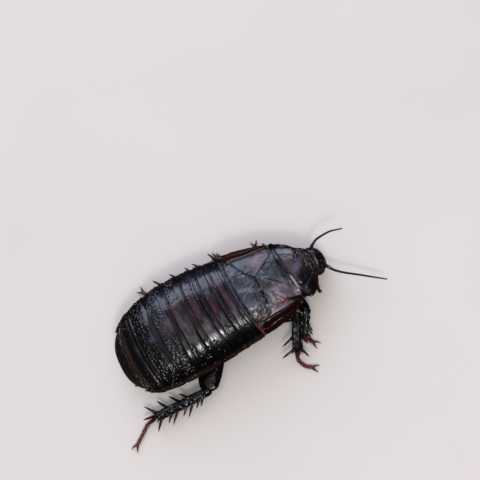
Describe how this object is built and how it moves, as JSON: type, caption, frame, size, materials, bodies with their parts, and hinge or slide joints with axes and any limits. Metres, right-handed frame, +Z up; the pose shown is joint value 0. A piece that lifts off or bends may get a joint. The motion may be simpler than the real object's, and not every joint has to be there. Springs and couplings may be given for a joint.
{
  "type": "wood cockroach figure",
  "caption": "Life-size wood cockroach at rest with torn wing stubs; its plated back, head, feelers and spined legs are separate nodes.",
  "frame": {"origin": "middle of the bounding box, on the floor that the six feet stand on", "axes": "+X along the body towards the head, +Y to the animal's left, +Z up"},
  "size_m": [0.0509, 0.0285, 0.0088],
  "materials": {
    "black_cuticle": "glossy black shell with a slate-blue sheen, pitted towards the tail",
    "maroon_cuticle": "leathery dark maroon, half glossy, veined",
    "under_cuticle": "dark red-brown belly plates, half glossy",
    "leg_cuticle": "glossy black-brown with fine pits",
    "foot_cuticle": "dark red, half glossy",
    "feeler": "dull dark brown rings",
    "eye": "glossy black with a fine grain"
  },
  "bodies": {
    "root": {"tergite_1": "black_cuticle", "tergite_2": "black_cuticle", "tergite_3": "black_cuticle", "tergite_4": "black_cuticle", "tergite_5": "black_cuticle", "tergite_6": "black_cuticle", "tergite_7": "black_cuticle", "supra_anal_plate": "black_cuticle", "metanotum": "black_cuticle", "mesonotum": "black_cuticle", "pronotum": "black_cuticle", "head": "black_cuticle", "wing_stub_left": "maroon_cuticle", "wing_stub_right": "maroon_cuticle", "abdomen_underside": "under_cuticle", "thorax_underside": "under_cuticle", "coxa_fore_left": "leg_cuticle", "coxa_fore_right": "leg_cuticle", "coxa_mid_left": "leg_cuticle", "coxa_mid_right": "leg_cuticle", "coxa_hind_left": "leg_cuticle", "coxa_hind_right": "leg_cuticle", "femur_fore_left": "leg_cuticle", "femur_fore_right": "leg_cuticle", "femur_mid_left": "leg_cuticle", "femur_mid_right": "leg_cuticle", "femur_hind_left": "leg_cuticle", "femur_hind_right": "leg_cuticle", "tibia_fore_left": "leg_cuticle", "tibia_fore_right": "leg_cuticle", "tibia_mid_left": "leg_cuticle", "tibia_mid_right": "leg_cuticle", "tibia_hind_left": "leg_cuticle", "tibia_hind_right": "leg_cuticle", "tarsus_fore_left": "foot_cuticle", "tarsus_fore_right": "foot_cuticle", "tarsus_mid_left": "foot_cuticle", "tarsus_mid_right": "foot_cuticle", "tarsus_hind_left": "foot_cuticle", "tarsus_hind_right": "foot_cuticle", "labrum": "leg_cuticle", "mandible_left": "leg_cuticle", "mandible_right": "leg_cuticle", "cercus_left": "leg_cuticle", "cercus_right": "leg_cuticle", "palp_left": "foot_cuticle", "palp_right": "foot_cuticle", "antenna_left": "feeler", "antenna_right": "feeler", "eye_left": "eye", "eye_right": "eye"}
  },
  "joints": []
}
